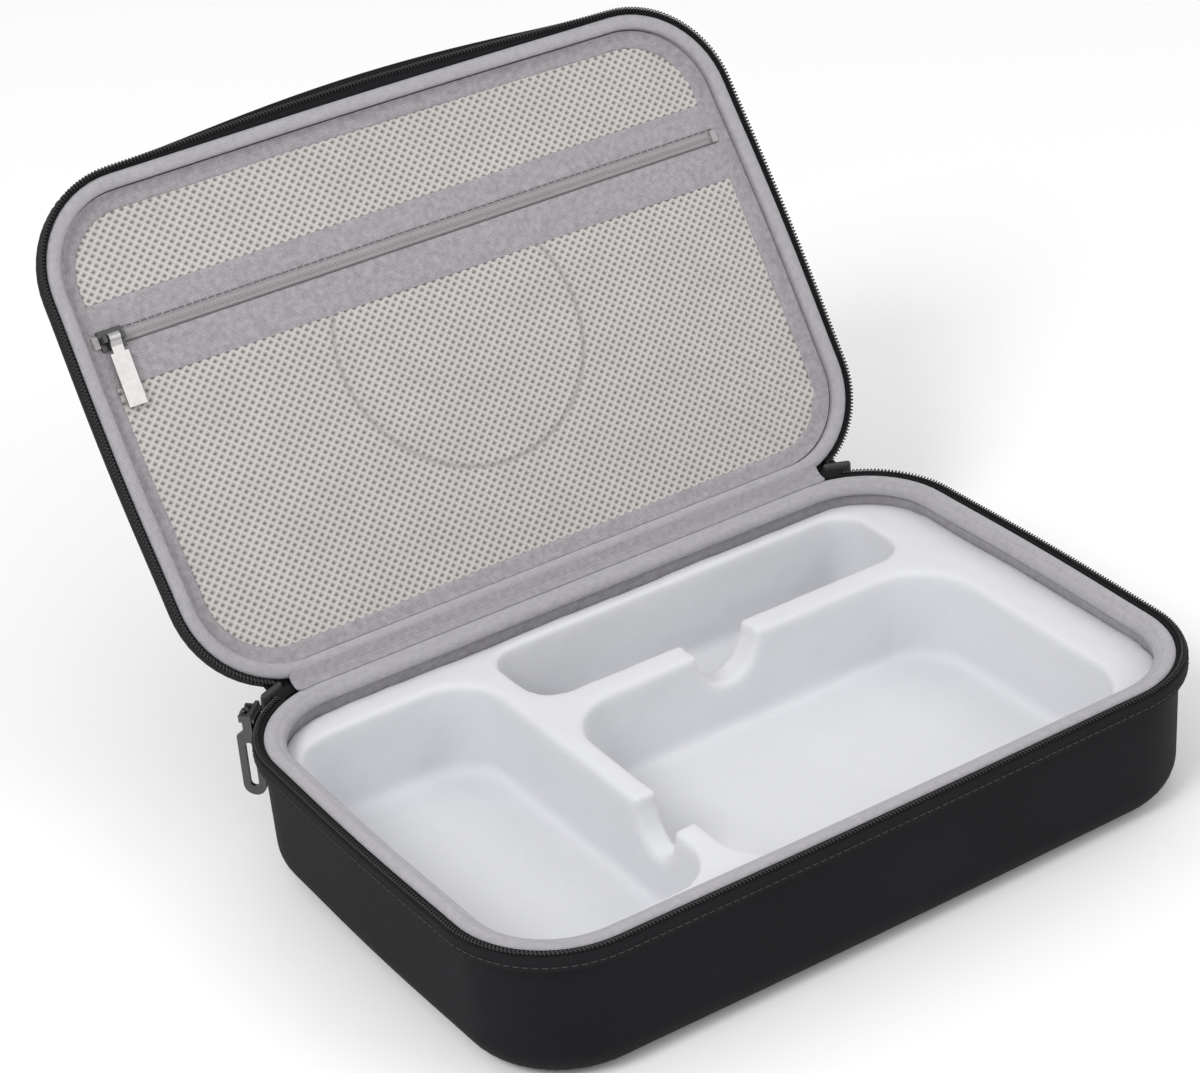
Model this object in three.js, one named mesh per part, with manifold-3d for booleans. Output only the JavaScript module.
// A zippered hard-shell carrying case for a folding camera drone, standing open.
// Units are millimetres. +Z is up, the zip opening faces -Y, the fabric hinge runs along X at the back.
// The origin is the centre of the flat underside of the base.
import * as THREE from "three";
import { mergeVertices } from "three/addons/utils/BufferGeometryUtils.js";
import Module from "manifold-3d";

const wasm = await Module();
wasm.setup();

// ---- driving dimensions -------------------------------------------------
const CLEARANCE = 0.3; // air left between neighbouring pieces

const HALF_LENGTH = 157.4; // outside of the zip flange, along X
const FRONT_Y = -107.6; // outside of the zip flange at the front
const BACK_Y = 104.4; // the same outline at the hinge side
const CORNER_RADIUS = 44;
const SHORT_BOW = 1.0; // outward bow of the left and right sides
const LONG_BOW = 0.75; // outward bow of the front

const BASE_HEIGHT = 57.6; // underside to the top of the rim piping
const LID_HEIGHT = 31; // rim piping to the lid's top face
const RIM_GAP = 2.4; // between the two rims when the case is shut
const OPEN_ANGLE = 125; // degrees that the lid stands open

const FLANGE = 3.1; // zip tape's reach outside the shell wall
const SHELL_WALL = 5.2; // thickness of the moulded foam wall
const SHELL_FLOOR = 3.5;
const LINING = 1.1; // knit lining with its backing
const PIPING_HEIGHT = 2.7;
const BASE_EDGE_RADIUS = 14;
const LID_EDGE_RADIUS = 12;
const BASE_TAPER = 1.2;
const LID_TAPER = 6;

const TRAY_DROP = 10; // rim down to the tray's top face
const POCKET_FLOOR_Z = 9; // where the split-off floor pad ends

// ---- levels worked out from them ---------------------------------------
const HINGE_Y = BACK_Y - FLANGE + 0.45;
const HINGE_Z = BASE_HEIGHT + RIM_GAP / 2;
const SHELL_TOP_Z = BASE_HEIGHT - PIPING_HEIGHT - CLEARANCE;
const LID_RIM_Z = BASE_HEIGHT + RIM_GAP;
const LID_SHELL_Z = LID_RIM_Z + PIPING_HEIGHT + CLEARANCE;
const LID_TOP_Z = LID_RIM_Z + LID_HEIGHT;
const LINING_INSET = FLANGE + SHELL_WALL + CLEARANCE;
const INSIDE_INSET = LINING_INSET + LINING;
const TRAY_TOP_Z = BASE_HEIGHT - TRAY_DROP;
const CORNER_X = HALF_LENGTH - CORNER_RADIUS;
const BACK_CORNER_Y = BACK_Y - CORNER_RADIUS;
const FRONT_CORNER_Y = FRONT_Y + CORNER_RADIUS;
const FLANGE_END_Y = HINGE_Y - 0.85; // the zip flange stops short of the hinge line
const BIG = 600;

// ---- solids -------------------------------------------------------------
function toSolid(geometry) {
  const bare = geometry.clone();
  bare.deleteAttribute("normal");
  bare.deleteAttribute("uv");
  const merged = mergeVertices(bare, 1e-4);
  const vertProperties = merged.attributes.position.array;
  const triVerts = new Uint32Array(merged.index.array);
  return new wasm.Manifold(new wasm.Mesh({ numProp: 3, vertProperties, triVerts }));
}

function toGeometry(solid) {
  const mesh = solid.getMesh();
  const geometry = new THREE.BufferGeometry();
  geometry.setAttribute("position", new THREE.BufferAttribute(mesh.vertProperties, 3));
  geometry.setIndex(new THREE.BufferAttribute(mesh.triVerts, 1));
  geometry.computeVertexNormals();
  return geometry;
}

function boxSolid(x0, x1, y0, y1, z0, z1) {
  const geometry = new THREE.BoxGeometry(x1 - x0, y1 - y0, z1 - z0);
  geometry.translate((x0 + x1) / 2, (y0 + y1) / 2, (z0 + z1) / 2);
  return toSolid(geometry);
}

// The case's outline seen from above, moved inward by inset: four arcs joined by gently bowed sides.
function outlinePoints(inset, mirrored = false) {
  const radius = CORNER_RADIUS - inset;
  const steps = 5;
  const sideSteps = 4;
  const points = [];
  const corners = [
    [CORNER_X, BACK_CORNER_Y, 0],
    [-CORNER_X, BACK_CORNER_Y, 90],
    [-CORNER_X, FRONT_CORNER_Y, 180],
    [CORNER_X, FRONT_CORNER_Y, 270],
  ];
  const bows = [0, SHORT_BOW, LONG_BOW, SHORT_BOW];
  corners.forEach(([cx, cy, start], index) => {
    for (let i = 0; i <= steps; i++) {
      const angle = THREE.MathUtils.degToRad(start + (90 * i) / steps);
      points.push(new THREE.Vector2(cx + radius * Math.cos(angle), cy + radius * Math.sin(angle)));
    }
    if (bows[index] === 0) return;
    const from = points[points.length - 1].clone();
    const [nx, ny, nextStart] = corners[(index + 1) % 4];
    const next = THREE.MathUtils.degToRad(nextStart);
    const to = new THREE.Vector2(nx + radius * Math.cos(next), ny + radius * Math.sin(next));
    const outward = new THREE.Vector2(Math.cos(next), Math.sin(next));
    for (let i = 1; i < sideSteps; i++) {
      const t = i / sideSteps;
      const rise = (1 - (2 * t - 1) ** 2) ** 1.5;
      points.push(from.clone().lerp(to, t).addScaledVector(outward, bows[index] * rise));
    }
  });
  if (!mirrored) return points;
  return points.map((p) => new THREE.Vector2(p.x, -p.y)).reverse();
}

// A straight wall-to-wall slab of the outline between two heights.
function slab(inset, z0, z1) {
  const geometry = new THREE.ExtrudeGeometry(new THREE.Shape(outlinePoints(inset)), {
    depth: z1 - z0,
    bevelEnabled: false,
  });
  geometry.translate(0, 0, z0);
  return toSolid(geometry);
}

// A band that follows the outline between two insets, with its edges rounded by round.
function ring(outer, inner, z0, z1, round = 0) {
  const shape = new THREE.Shape(outlinePoints(outer));
  shape.holes.push(new THREE.Path(outlinePoints(inner)));
  const geometry = new THREE.ExtrudeGeometry(shape, {
    depth: z1 - z0 - 2 * round,
    bevelEnabled: round > 0,
    bevelThickness: round,
    bevelSize: round,
    bevelOffset: -round,
    bevelSegments: 1,
  });
  geometry.translate(0, 0, z0 + round);
  return toSolid(geometry);
}

// A dish: closed with a rounded edge at closedZ, cut off square at openZ, narrower by taper at the closed end.
function dish(inset, closedZ, openZ, edgeRadius, taper) {
  const opensUp = openZ > closedZ;
  const height = Math.abs(openZ - closedZ);
  const geometry = new THREE.ExtrudeGeometry(new THREE.Shape(outlinePoints(inset, !opensUp)), {
    depth: height,
    bevelEnabled: true,
    bevelThickness: edgeRadius,
    bevelSize: edgeRadius,
    bevelOffset: -edgeRadius,
    bevelSegments: 3,
  });
  geometry.translate(0, 0, edgeRadius);
  const position = geometry.attributes.position;
  for (let i = 0; i < position.count; i++) {
    const shrink = Math.max(0, 1 - position.getZ(i) / height) * taper;
    position.setX(i, position.getX(i) * (1 - shrink / HALF_LENGTH));
    position.setY(i, position.getY(i) * (1 - shrink / -FRONT_Y));
  }
  const beyond = boxSolid(-BIG, BIG, -BIG, BIG, height, BIG);
  const trimmed = toGeometry(toSolid(geometry).subtract(beyond));
  if (!opensUp) trimmed.rotateX(Math.PI);
  trimmed.translate(0, 0, closedZ);
  return toSolid(trimmed);
}

function roundedRectangle(x0, x1, y0, y1, radius) {
  const shape = new THREE.Shape();
  shape.moveTo(x0 + radius, y0);
  shape.lineTo(x1 - radius, y0);
  shape.absarc(x1 - radius, y0 + radius, radius, -Math.PI / 2, 0);
  shape.absarc(x1 - radius, y1 - radius, radius, 0, Math.PI / 2);
  shape.absarc(x0 + radius, y1 - radius, radius, Math.PI / 2, Math.PI);
  shape.absarc(x0 + radius, y0 + radius, radius, Math.PI, 1.5 * Math.PI);
  return shape;
}

function extruded(shape, z0, z1, curveSegments = 5) {
  const geometry = new THREE.ExtrudeGeometry(shape, { depth: z1 - z0, bevelEnabled: false, curveSegments });
  geometry.translate(0, 0, z0);
  return toSolid(geometry);
}

// ---- materials ----------------------------------------------------------
function finish(color, roughness, metalness = 0) {
  return new THREE.MeshStandardMaterial({ color, roughness, metalness });
}
const blackShellCloth = () => finish(0x1b1b1e, 0.85);
const blackZipTape = () => finish(0x121214, 0.8);
const blackCoil = () => finish(0x19191b, 0.45);
const greyKnitLining = () => finish(0x97929a, 0.95);
const lightPiping = () => finish(0xb7b3b9, 0.85);
const pearlFlock = () => finish(0xdcdee2, 0.6);
const netting = () => finish(0xb9b3ab, 0.9);
const gunmetal = () => finish(0x55575c, 0.35, 0.9);
const brightNickel = () => finish(0xc9cacd, 0.25, 0.95);
const rubberised = () => finish(0x1d1d1f, 0.7);

function part(name, solidOrGeometry, material) {
  const geometry = solidOrGeometry.isBufferGeometry ? solidOrGeometry : toGeometry(solidOrGeometry);
  const mesh = new THREE.Mesh(geometry, material);
  mesh.name = name;
  return mesh;
}

// ---- base ---------------------------------------------------------------
function baseShell() {
  const outside = dish(FLANGE, 0, SHELL_TOP_Z, BASE_EDGE_RADIUS, BASE_TAPER);
  const inside = dish(FLANGE + SHELL_WALL, SHELL_FLOOR, SHELL_TOP_Z + 1, BASE_EDGE_RADIUS - 4, BASE_TAPER);
  return part("base_shell", outside.subtract(inside), blackShellCloth());
}

function baseLining() {
  const floor = SHELL_FLOOR + CLEARANCE;
  const outside = dish(LINING_INSET, floor, SHELL_TOP_Z, BASE_EDGE_RADIUS - 4, BASE_TAPER);
  const inside = dish(INSIDE_INSET, floor + LINING, SHELL_TOP_Z + 1, BASE_EDGE_RADIUS - 5, BASE_TAPER);
  return part("base_lining", outside.subtract(inside), greyKnitLining());
}

function rimPiping(name, z0) {
  return part(name, ring(FLANGE + 1.5, INSIDE_INSET + 0.4, z0, z0 + PIPING_HEIGHT, 0.9), lightPiping());
}

// The tape is stitched round the wall and turned over its edge; it ends before the hinge.
function zipTape(name, lipZ0, lipZ1, skirtZ0, skirtZ1) {
  const lip = ring(0, FLANGE + 1.2, lipZ0, lipZ1);
  const skirt = ring(0, FLANGE - CLEARANCE, skirtZ0, skirtZ1);
  const hingeSide = boxSolid(-BIG, BIG, FLANGE_END_Y, BIG, -BIG, BIG);
  return part(name, lip.add(skirt).subtract(hingeSide), blackZipTape());
}

function zipCoil(name, z0) {
  const hingeSide = boxSolid(-BIG, BIG, FLANGE_END_Y - 1, BIG, -BIG, BIG);
  return part(name, ring(0.9, 2.5, z0, z0 + 0.9).subtract(hingeSide), blackCoil());
}

// ---- tray ---------------------------------------------------------------
// One flocked moulding on the real case. It is split here into a floor pad and two halves that meet in
// the wall beside the drone, only so that the convex collision pieces leave the pockets open. The
// pockets' sizes and depth are guessed.
const DRONE_POCKET = { x0: -141, x1: -59, y0: -84, y1: 80, radius: 20 };
const HUB_POCKET = { x0: -48, x1: 124, y0: 47, y1: 87, radius: 12 };
const REMOTE_POCKET = { x0: -49, x1: 125, y0: -90, y1: 34, radius: 24 };
const SCOOP_DEPTH = 18;
const TRAY_JOIN_X = -54; // where the two halves meet
const TRAY_BOTTOM_RADIUS = BASE_EDGE_RADIUS - 5;

// The space inside the lining, up to the tray's top face.
function trayBlock() {
  const floor = SHELL_FLOOR + LINING + 2 * CLEARANCE;
  return dish(INSIDE_INSET + CLEARANCE, floor, TRAY_TOP_Z, TRAY_BOTTOM_RADIUS, BASE_TAPER);
}

function trayPad() {
  const above = boxSolid(-BIG, BIG, -BIG, BIG, POCKET_FLOOR_Z, BIG);
  return part("tray_pad", trayBlock().subtract(above), pearlFlock());
}

function pocketCutter({ x0, x1, y0, y1, radius }) {
  return extruded(roundedRectangle(x0, x1, y0, y1, radius), 0, BIG);
}

// A round-bottomed dip through the wall between two pockets, its axis along X or Y.
function fingerScoop(x, y, radius, alongX) {
  const dip = new THREE.CylinderGeometry(radius, radius, 30, 14);
  dip.rotateX(Math.PI / 2);
  if (alongX) dip.rotateZ(Math.PI / 2);
  dip.translate(x, y, TRAY_TOP_Z - SCOOP_DEPTH + radius);
  const mouth = alongX
    ? boxSolid(x - 15, x + 15, y - radius, y + radius, TRAY_TOP_Z - SCOOP_DEPTH + radius, BIG)
    : boxSolid(x - radius, x + radius, y - 15, y + 15, TRAY_TOP_Z - SCOOP_DEPTH + radius, BIG);
  return toSolid(dip).add(mouth);
}

function trayInsert(name, x0, x1) {
  const insert = trayBlock()
    .intersect(boxSolid(x0, x1, -BIG, BIG, POCKET_FLOOR_Z + CLEARANCE, BIG))
    .subtract(pocketCutter(DRONE_POCKET))
    .subtract(pocketCutter(HUB_POCKET))
    .subtract(pocketCutter(REMOTE_POCKET))
    .subtract(fingerScoop(TRAY_JOIN_X, -42, 11, true))
    .subtract(fingerScoop(28, 40.5, 13, false));
  return part(name, insert, pearlFlock());
}

// ---- hinge --------------------------------------------------------------
// One band of webbing outside and one strip of lining inside, each divided at the fold line.
const WEBBING_HALF_LENGTH = 106;
const FOLD_HALF_GAP = 2.1;

function hingeWebbing(name, z0, z1) {
  const y0 = BACK_Y - FLANGE + CLEARANCE;
  return part(name, boxSolid(-WEBBING_HALF_LENGTH, WEBBING_HALF_LENGTH, y0, y0 + 1, z0, z1), blackZipTape());
}

function hingeLining(name, z0) {
  const y0 = BACK_Y - INSIDE_INSET;
  const half = WEBBING_HALF_LENGTH + 4;
  return part(name, boxSolid(-half, half, y0, y0 + 7.2, z0, z0 + 0.45), greyKnitLining());
}

// A folded fabric tab that closes off each end of the zip at the back corners.
function zipEndTab(name, side) {
  const angle = THREE.MathUtils.degToRad(66);
  const shape = roundedRectangle(-6, 6, -5, 5, 3.5);
  const geometry = new THREE.ExtrudeGeometry(shape, { depth: 3, bevelEnabled: false, curveSegments: 4 });
  geometry.rotateX(-Math.PI / 2);
  geometry.translate(0, CORNER_RADIUS + CLEARANCE, 0);
  const mesh = part(name, geometry, blackZipTape());
  mesh.position.set(side * CORNER_X, BACK_CORNER_Y, BASE_HEIGHT - 6.3);
  mesh.rotation.z = side * (angle - Math.PI / 2);
  return mesh;
}

// ---- carry handle on the hinge side ------------------------------------
// The whole handle is a guess: that there is one, where it sits, its size and its fastening.
const HANDLE_Z = 27;
const HANDLE_WIDTH = 24;
const HANDLE_REACH = 17; // hand room behind the strap
const HANDLE_HALF = 74;
const STRAP_THICKNESS = 2.2;

// The strap seen from above: flat on the wall at both ends and arched between them.
function strapShape(grow) {
  const wall = BACK_Y - FLANGE + CLEARANCE;
  const near = [];
  const far = [];
  const steps = 24;
  for (let i = 0; i <= steps; i++) {
    const x = -HANDLE_HALF + (2 * HANDLE_HALF * i) / steps;
    const along = THREE.MathUtils.clamp((54 - Math.abs(x)) / 24, 0, 1);
    const rise = HANDLE_REACH * (along * along * (3 - 2 * along));
    near.push(new THREE.Vector2(x, wall + rise - grow));
    far.push(new THREE.Vector2(x, wall + rise + STRAP_THICKNESS + grow));
  }
  return new THREE.Shape(near.concat(far.reverse()));
}

function handleStrap() {
  const solid = extruded(strapShape(0), HANDLE_Z - HANDLE_WIDTH / 2, HANDLE_Z + HANDLE_WIDTH / 2);
  return part("handle_strap", solid, blackZipTape());
}

function handleGrip() {
  const wall = BACK_Y - FLANGE + CLEARANCE;
  const middle = wall + HANDLE_REACH + STRAP_THICKNESS / 2;
  const section = roundedRectangle(middle - 4, middle + 4, HANDLE_Z - 14, HANDLE_Z + 14, 3.5);
  const geometry = new THREE.ExtrudeGeometry(section, { depth: 56, bevelEnabled: false, curveSegments: 3 });
  geometry.applyMatrix4(new THREE.Matrix4().makeBasis(
    new THREE.Vector3(0, 1, 0),
    new THREE.Vector3(0, 0, 1),
    new THREE.Vector3(1, 0, 0),
  ));
  geometry.translate(-28, 0, 0);
  const slot = extruded(strapShape(CLEARANCE), HANDLE_Z - HANDLE_WIDTH / 2 - CLEARANCE,
    HANDLE_Z + HANDLE_WIDTH / 2 + CLEARANCE);
  return part("handle_grip", toSolid(geometry).subtract(slot), rubberised());
}

function handlePatch(name, side) {
  const y0 = BACK_Y - FLANGE + CLEARANCE + STRAP_THICKNESS + CLEARANCE;
  const solid = boxSolid(side * 66 - 9, side * 66 + 9, y0, y0 + 1.4, HANDLE_Z - 13, HANDLE_Z + 13);
  return part(name, solid, rubberised());
}

function handleRivet(name, side, height) {
  const y0 = BACK_Y - FLANGE + 2 * CLEARANCE + STRAP_THICKNESS + 1.4 + CLEARANCE;
  const profile = [
    new THREE.Vector2(0, 0),
    new THREE.Vector2(3.6, 0),
    new THREE.Vector2(3.6, 0.5),
    new THREE.Vector2(2.4, 1.3),
    new THREE.Vector2(0, 1.6),
  ];
  const mesh = part(name, new THREE.LatheGeometry(profile, 12), gunmetal());
  mesh.position.set(side * 66, y0, HANDLE_Z + height);
  return mesh;
}

// ---- lid ----------------------------------------------------------------
// Everything of the lid is laid out shut and swung open about the hinge at the end of this file.
const BADGE_RADIUS = 54;

function lidShell() {
  const outside = dish(FLANGE, LID_TOP_Z, LID_SHELL_Z, LID_EDGE_RADIUS, LID_TAPER);
  const inside = dish(FLANGE + SHELL_WALL, LID_TOP_Z - SHELL_FLOOR, LID_SHELL_Z - 1, LID_EDGE_RADIUS - 4, LID_TAPER);
  const groove = new THREE.Shape();
  groove.absarc(0, 0, BADGE_RADIUS, 0, 2 * Math.PI);
  const hole = new THREE.Path();
  hole.absarc(0, 0, BADGE_RADIUS - 2, 0, 2 * Math.PI);
  groove.holes.push(hole);
  const pressed = extruded(groove, LID_TOP_Z - 0.8, LID_TOP_Z + 5, 28);
  return part("lid_shell", outside.subtract(inside).subtract(pressed), blackShellCloth());
}

function lidLining() {
  const ceiling = LID_TOP_Z - SHELL_FLOOR - CLEARANCE;
  const outside = dish(LINING_INSET, ceiling, LID_SHELL_Z, LID_EDGE_RADIUS - 4, LID_TAPER);
  const inside = dish(INSIDE_INSET, ceiling - LINING, LID_SHELL_Z - 1, LID_EDGE_RADIUS - 5, LID_TAPER);
  return part("lid_lining", outside.subtract(inside), greyKnitLining());
}

// ---- net pocket in the lid ----------------------------------------------
const NET_Z = LID_RIM_Z + 6; // net's face, set back from the rim
const NET_THICKNESS = 1;
const BORDER_INSET = INSIDE_INSET + 3.4;
const NET_INSET = BORDER_INSET + 4;
const ZIP_Y = -44; // centre line of the pocket zip
const ZIP_HALF = 2.2;
const BAND_FRONT_Y = -58.5;
const BAND_BACK_Y = -25.5;

function pocketBorder() {
  return part("pocket_border", ring(BORDER_INSET, NET_INSET - CLEARANCE, NET_Z, NET_Z + 1.4), greyKnitLining());
}

function pocketStrip(name, y0, y1, thickness, material) {
  const whole = slab(NET_INSET, NET_Z, NET_Z + thickness);
  return part(name, whole.intersect(boxSolid(-BIG, BIG, y0, y1, 0, BIG)), material);
}

// ---- zip sliders and pullers --------------------------------------------
// A puller cut from plate: an eye round the slider's rod, a neck, then a long slotted body hanging down -Y.
function pullerShape(eye, hole, neck, neckEnd, width, length, slot) {
  const shape = new THREE.Shape();
  const eyeAngle = Math.asin(neck / 2 / eye);
  shape.absarc(0, 0, eye, -Math.PI / 2 + eyeAngle, 1.5 * Math.PI - eyeAngle);
  shape.lineTo(-neck / 2, -neckEnd);
  shape.lineTo(-width / 2, -neckEnd - 2.5);
  shape.lineTo(-width / 2, -length + width / 2);
  shape.absarc(0, -length + width / 2, width / 2, Math.PI, 2 * Math.PI);
  shape.lineTo(width / 2, -neckEnd - 2.5);
  shape.lineTo(neck / 2, -neckEnd);
  const eyeHole = new THREE.Path();
  eyeHole.absarc(0, 0, hole, 0, 2 * Math.PI);
  shape.holes.push(eyeHole);
  if (slot) {
    const slotHole = new THREE.Path();
    const top = -neckEnd - 7;
    const bottom = -length + width / 2 + 1;
    slotHole.absarc(0, top, slot / 2, 0, Math.PI);
    slotHole.absarc(0, bottom, slot / 2, Math.PI, 2 * Math.PI);
    shape.holes.push(slotHole);
  }
  return shape;
}

// The main slider sits at the end of the zip, on the back left corner's arc.
// Its frame has +X outward from the corner's centre, +Y along the zip and +Z up.
const SLIDER_ARC = 47; // degrees round the corner from the left side
const MAIN_PLATE_R = CORNER_RADIUS + 0.5;
const MAIN_PLATE_T = 1.6;
const MAIN_ROD_R = MAIN_PLATE_R + MAIN_PLATE_T + 2.4;
const MAIN_ROD_Z = HINGE_Z + 0.2;
const ROD_RADIUS = 0.8;

function onZipArc(child) {
  const group = new THREE.Group();
  group.position.set(-CORNER_X, BACK_CORNER_Y, 0);
  group.rotation.z = Math.PI - THREE.MathUtils.degToRad(SLIDER_ARC);
  group.add(child);
  return group;
}

function mainSlider() {
  const x0 = MAIN_PLATE_R;
  const x1 = x0 + MAIN_PLATE_T;
  const plate = boxSolid(x0, x1, -5.5, 5.5, BASE_HEIGHT - 6.8, BASE_HEIGHT + 3.6);
  const fin = boxSolid(x0 - 1, x0 + 0.4, -5, 5, BASE_HEIGHT + 0.3, BASE_HEIGHT + 2);
  const postOut = MAIN_ROD_R + 1.2;
  const lower = boxSolid(x1 - 0.2, postOut, -4.6, -2.9, MAIN_ROD_Z - 1.4, MAIN_ROD_Z + 1.4);
  const upper = boxSolid(x1 - 0.2, postOut, 2.9, 4.6, MAIN_ROD_Z - 1.4, MAIN_ROD_Z + 1.4);
  const rod = new THREE.CylinderGeometry(ROD_RADIUS, ROD_RADIUS, 7, 10);
  rod.translate(MAIN_ROD_R, 0, MAIN_ROD_Z);
  return part("main_slider", plate.add(fin).add(lower).add(upper).add(toSolid(rod)), gunmetal());
}

function mainPuller() {
  const shape = pullerShape(2.0, 1.2, 3.2, 7.5, 9, 36, 3.4);
  const geometry = new THREE.ExtrudeGeometry(shape, { depth: 1.6, bevelEnabled: false, curveSegments: 8 });
  geometry.translate(0, 0, -0.8);
  geometry.rotateX(Math.PI / 2);
  geometry.translate(MAIN_ROD_R, 0, MAIN_ROD_Z);
  return part("main_puller", geometry, gunmetal());
}

// The pocket slider rides the zip in the lid, with its face towards the inside of the case.
const POCKET_SLIDER_X = -136;
const POCKET_PLATE_Z = NET_Z - CLEARANCE;
const POCKET_ROD_Z = POCKET_PLATE_Z - 1.2 - 2.3;

function pocketSlider() {
  const x = POCKET_SLIDER_X;
  const plate = boxSolid(x - 5, x + 5, ZIP_Y - 4, ZIP_Y + 4, POCKET_PLATE_Z - 1.2, POCKET_PLATE_Z);
  const y0 = ZIP_Y - 1.3;
  const y1 = ZIP_Y + 1.3;
  const z0 = POCKET_ROD_Z - 1.1;
  const left = boxSolid(x - 4.4, x - 2.9, y0, y1, z0, POCKET_PLATE_Z - 1);
  const right = boxSolid(x + 2.9, x + 4.4, y0, y1, z0, POCKET_PLATE_Z - 1);
  const rod = new THREE.CylinderGeometry(ROD_RADIUS, ROD_RADIUS, 7, 10);
  rod.rotateZ(Math.PI / 2);
  rod.translate(x, ZIP_Y, POCKET_ROD_Z);
  return part("pocket_slider", plate.add(left).add(right).add(toSolid(rod)), gunmetal());
}

// Its puller is folded from strip: a rolled eye and a flat tongue that lies on the band below the zip.
function pocketPuller() {
  const profile = new THREE.Shape();
  profile.absarc(0, 0, 2.0, Math.PI / 2, 2 * Math.PI - 0.8);
  profile.lineTo(3.4, -0.7);
  profile.lineTo(27, -0.7);
  profile.lineTo(27, 0.7);
  profile.lineTo(3.4, 0.7);
  const eye = new THREE.Path();
  eye.absarc(0, 0, 1.2, 0, 2 * Math.PI);
  profile.holes.push(eye);
  const rolled = new THREE.ExtrudeGeometry(profile, { depth: 4.6, bevelEnabled: false, curveSegments: 8 });
  rolled.translate(0, 0, -2.3);
  const tongue = new THREE.BoxGeometry(21, 1.4, 7.4);
  tongue.translate(16.5, 0, 0);
  const solid = toGeometry(toSolid(rolled).add(toSolid(tongue)));
  solid.applyMatrix4(new THREE.Matrix4().makeBasis(
    new THREE.Vector3(0, 1, 0),
    new THREE.Vector3(0, 0, 1),
    new THREE.Vector3(1, 0, 0),
  ));
  const mesh = part("pocket_puller", solid, brightNickel());
  mesh.rotation.x = THREE.MathUtils.degToRad(5);
  mesh.position.set(POCKET_SLIDER_X, ZIP_Y, POCKET_ROD_Z);
  return mesh;
}

function pocketZipStop(name, x) {
  const z = NET_Z - CLEARANCE;
  return part(name, boxSolid(x - 1.2, x + 1.2, ZIP_Y - 2.4, ZIP_Y + 2.4, z - 1, z), gunmetal());
}

// ---- assembly -----------------------------------------------------------
const base = new THREE.Group();
base.add(
  baseShell(),
  baseLining(),
  rimPiping("base_rim_piping", BASE_HEIGHT - PIPING_HEIGHT),
  zipTape("base_zip_tape", BASE_HEIGHT - PIPING_HEIGHT, BASE_HEIGHT - 0.4, BASE_HEIGHT - 6.6, BASE_HEIGHT - 2),
  zipCoil("base_zip_coil", BASE_HEIGHT - 0.1),
  trayPad(),
  trayInsert("tray_insert_drone_side", -BIG, TRAY_JOIN_X - CLEARANCE / 2),
  trayInsert("tray_insert_remote_side", TRAY_JOIN_X + CLEARANCE / 2, BIG),
  hingeWebbing("hinge_webbing_base", HINGE_Z - 16, HINGE_Z - FOLD_HALF_GAP),
  hingeLining("hinge_lining_base", BASE_HEIGHT + CLEARANCE),
  zipEndTab("zip_end_tab_left", -1),
  zipEndTab("zip_end_tab_right", 1),
  handleStrap(),
  handleGrip(),
  handlePatch("handle_patch_left", -1),
  handlePatch("handle_patch_right", 1),
);
for (const [sideName, side] of [["left", -1], ["right", 1]]) {
  base.add(handleRivet("handle_rivet_" + sideName + "_lower", side, -7));
  base.add(handleRivet("handle_rivet_" + sideName + "_upper", side, 7));
}

const zipParts = new THREE.Group();
zipParts.add(onZipArc(mainSlider()), onZipArc(mainPuller()));

const shutLid = new THREE.Group();
shutLid.position.set(0, -HINGE_Y, -HINGE_Z);
shutLid.add(
  lidShell(),
  lidLining(),
  rimPiping("lid_rim_piping", LID_RIM_Z),
  zipTape("lid_zip_tape", LID_RIM_Z + 0.4, LID_RIM_Z + PIPING_HEIGHT, LID_RIM_Z + 2, LID_RIM_Z + 6.6),
  zipCoil("lid_zip_coil", LID_RIM_Z - 0.8),
  hingeWebbing("hinge_webbing_lid", HINGE_Z + FOLD_HALF_GAP, HINGE_Z + 16),
  hingeLining("hinge_lining_lid", LID_RIM_Z - CLEARANCE - 0.45),
  pocketBorder(),
  pocketStrip("net_panel_front", -BIG, BAND_FRONT_Y - CLEARANCE, NET_THICKNESS, netting()),
  pocketStrip("net_panel_back", BAND_BACK_Y + CLEARANCE, BIG, NET_THICKNESS, netting()),
  pocketStrip("pocket_band_front", BAND_FRONT_Y, ZIP_Y - ZIP_HALF - CLEARANCE, 1.4, greyKnitLining()),
  pocketStrip("pocket_band_back", ZIP_Y + ZIP_HALF + CLEARANCE, BAND_BACK_Y, 1.4, greyKnitLining()),
  pocketStrip("pocket_zip_coil", ZIP_Y - ZIP_HALF, ZIP_Y + ZIP_HALF, 1.2, greyKnitLining()),
  pocketZipStop("pocket_zip_stop_left", -142.4),
  pocketZipStop("pocket_zip_stop_right", 141),
  pocketSlider(),
  pocketPuller(),
);
const lid = new THREE.Group();
lid.position.set(0, HINGE_Y, HINGE_Z);
lid.rotation.x = -THREE.MathUtils.degToRad(OPEN_ANGLE);
lid.add(shutLid);

const carryingCase = new THREE.Group();
carryingCase.add(base, zipParts, lid);

export default carryingCase;
